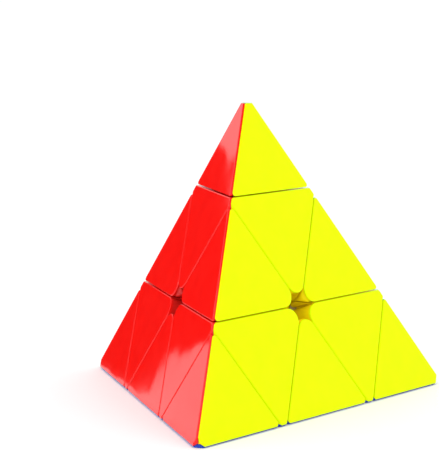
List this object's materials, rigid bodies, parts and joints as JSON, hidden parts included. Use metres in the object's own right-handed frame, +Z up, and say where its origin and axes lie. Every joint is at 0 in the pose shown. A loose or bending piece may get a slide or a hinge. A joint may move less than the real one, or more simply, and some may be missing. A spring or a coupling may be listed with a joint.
{
  "type": "pyramid twisty puzzle",
  "caption": "Four-sided pyramid twisty puzzle in coloured plastic: turning tips, centre pieces and edge pieces on a sprung inner core.",
  "frame": {"origin": "middle of the core, where the four turning axes meet, 20.0 mm above the blue side that the puzzle rests on", "axes": "+Z up along the axis through the top corner, -Y from the middle of the blue side to the middle of the yellow side's lower edge, +X along that edge from the front left corner to the front right corner"},
  "size_m": [0.094, 0.0826, 0.0768],
  "materials": {
    "yellow_plastic": "bright yellow, satin gloss",
    "red_plastic": "bright red, gloss",
    "blue_plastic": "blue, gloss",
    "green_plastic": "green, gloss",
    "inner_plastic": "warm tan, moulded",
    "core_plastic": "pale grey, moulded",
    "screw_steel": "plain steel",
    "spring_steel": "spring wire",
    "magnet_plating": "nickel plating"
  },
  "bodies": {
    "core": {"core": "core_plastic", "core_screws": "screw_steel", "core_springs": "spring_steel", "core_washers": "screw_steel"},
    "top_centre": {"top_centre_frame": "inner_plastic", "top_centre_magnets": "magnet_plating", "top_centre_green_shell": "green_plastic", "top_centre_red_shell": "red_plastic", "top_centre_yellow_shell": "yellow_plastic"},
    "top_tip": {"top_tip_base": "inner_plastic", "top_tip_green_shell": "green_plastic", "top_tip_red_shell": "red_plastic", "top_tip_yellow_shell": "yellow_plastic"},
    "front_left_centre": {"front_left_centre_frame": "inner_plastic", "front_left_centre_magnets": "magnet_plating", "front_left_centre_blue_shell": "blue_plastic", "front_left_centre_red_shell": "red_plastic", "front_left_centre_yellow_shell": "yellow_plastic"},
    "front_left_tip": {"front_left_tip_base": "inner_plastic", "front_left_tip_blue_shell": "blue_plastic", "front_left_tip_red_shell": "red_plastic", "front_left_tip_yellow_shell": "yellow_plastic"},
    "front_right_centre": {"front_right_centre_frame": "inner_plastic", "front_right_centre_magnets": "magnet_plating", "front_right_centre_blue_shell": "blue_plastic", "front_right_centre_green_shell": "green_plastic", "front_right_centre_yellow_shell": "yellow_plastic"},
    "front_right_tip": {"front_right_tip_base": "inner_plastic", "front_right_tip_blue_shell": "blue_plastic", "front_right_tip_green_shell": "green_plastic", "front_right_tip_yellow_shell": "yellow_plastic"},
    "back_centre": {"back_centre_frame": "inner_plastic", "back_centre_magnets": "magnet_plating", "back_centre_blue_shell": "blue_plastic", "back_centre_green_shell": "green_plastic", "back_centre_red_shell": "red_plastic"},
    "back_tip": {"back_tip_base": "inner_plastic", "back_tip_blue_shell": "blue_plastic", "back_tip_green_shell": "green_plastic", "back_tip_red_shell": "red_plastic"},
    "yellow_red_edge": {"yellow_red_edge_red_half": "red_plastic", "yellow_red_edge_yellow_half": "yellow_plastic", "yellow_red_edge_magnets": "magnet_plating"},
    "yellow_green_edge": {"yellow_green_edge_green_half": "green_plastic", "yellow_green_edge_yellow_half": "yellow_plastic", "yellow_green_edge_magnets": "magnet_plating"},
    "red_green_edge": {"red_green_edge_green_half": "green_plastic", "red_green_edge_red_half": "red_plastic", "red_green_edge_magnets": "magnet_plating"},
    "yellow_blue_edge": {"yellow_blue_edge_blue_half": "blue_plastic", "yellow_blue_edge_yellow_half": "yellow_plastic", "yellow_blue_edge_magnets": "magnet_plating"},
    "red_blue_edge": {"red_blue_edge_blue_half": "blue_plastic", "red_blue_edge_red_half": "red_plastic", "red_blue_edge_magnets": "magnet_plating"},
    "green_blue_edge": {"green_blue_edge_blue_half": "blue_plastic", "green_blue_edge_green_half": "green_plastic", "green_blue_edge_magnets": "magnet_plating"}
  },
  "joints": [
    {"name": "top_layer_turn", "type": "hinge", "parent": "core", "child": "top_centre", "pos_m": [0, 0, 0], "axis": [0, 0, 1], "range_deg": [-240, 120]},
    {"name": "front_left_layer_turn", "type": "hinge", "parent": "core", "child": "front_left_centre", "pos_m": [0, 0, 0], "axis": [-0.8165, -0.4714, -0.3333], "range_deg": [-240, 120]},
    {"name": "front_right_layer_turn", "type": "hinge", "parent": "core", "child": "front_right_centre", "pos_m": [0, 0, 0], "axis": [0.8165, -0.4714, -0.3333], "range_deg": [-240, 120]},
    {"name": "back_layer_turn", "type": "hinge", "parent": "core", "child": "back_centre", "pos_m": [0, 0, 0], "axis": [0, 0.9428, -0.3333], "range_deg": [-240, 120]},
    {"name": "top_tip_turn", "type": "hinge", "parent": "top_centre", "child": "top_tip", "pos_m": [0, 0, 0], "axis": [0, 0, 1], "continuous": true},
    {"name": "front_left_tip_turn", "type": "hinge", "parent": "front_left_centre", "child": "front_left_tip", "pos_m": [0, 0, 0], "axis": [-0.8165, -0.4714, -0.3333], "continuous": true},
    {"name": "front_right_tip_turn", "type": "hinge", "parent": "front_right_centre", "child": "front_right_tip", "pos_m": [0, 0, 0], "axis": [0.8165, -0.4714, -0.3333], "continuous": true},
    {"name": "back_tip_turn", "type": "hinge", "parent": "back_centre", "child": "back_tip", "pos_m": [0, 0, 0], "axis": [0, 0.9428, -0.3333], "continuous": true},
    {"name": "yellow_red_edge_turn", "type": "hinge", "parent": "top_centre", "child": "yellow_red_edge", "pos_m": [0, 0, 0], "axis": [-0.8165, -0.4714, -0.3333], "range_deg": [-240, 120]},
    {"name": "yellow_green_edge_turn", "type": "hinge", "parent": "top_centre", "child": "yellow_green_edge", "pos_m": [0, 0, 0], "axis": [0.8165, -0.4714, -0.3333], "range_deg": [-240, 120]},
    {"name": "red_green_edge_turn", "type": "hinge", "parent": "top_centre", "child": "red_green_edge", "pos_m": [0, 0, 0], "axis": [0, 0.9428, -0.3333], "range_deg": [-240, 120]},
    {"name": "yellow_blue_edge_turn", "type": "hinge", "parent": "front_left_centre", "child": "yellow_blue_edge", "pos_m": [0, 0, 0], "axis": [0.8165, -0.4714, -0.3333], "range_deg": [-240, 120]},
    {"name": "red_blue_edge_turn", "type": "hinge", "parent": "back_centre", "child": "red_blue_edge", "pos_m": [0, 0, 0], "axis": [-0.8165, -0.4714, -0.3333], "range_deg": [-240, 120]},
    {"name": "green_blue_edge_turn", "type": "hinge", "parent": "front_right_centre", "child": "green_blue_edge", "pos_m": [0, 0, 0], "axis": [0, 0.9428, -0.3333], "range_deg": [-240, 120]}
  ],
  "couplings": [
    {"joint": "yellow_red_edge_turn", "follows": "front_left_layer_turn", "ratio": 1},
    {"joint": "yellow_green_edge_turn", "follows": "front_right_layer_turn", "ratio": 1},
    {"joint": "red_green_edge_turn", "follows": "back_layer_turn", "ratio": 1},
    {"joint": "yellow_blue_edge_turn", "follows": "front_right_layer_turn", "ratio": 1},
    {"joint": "red_blue_edge_turn", "follows": "front_left_layer_turn", "ratio": 1},
    {"joint": "green_blue_edge_turn", "follows": "back_layer_turn", "ratio": 1}
  ]
}
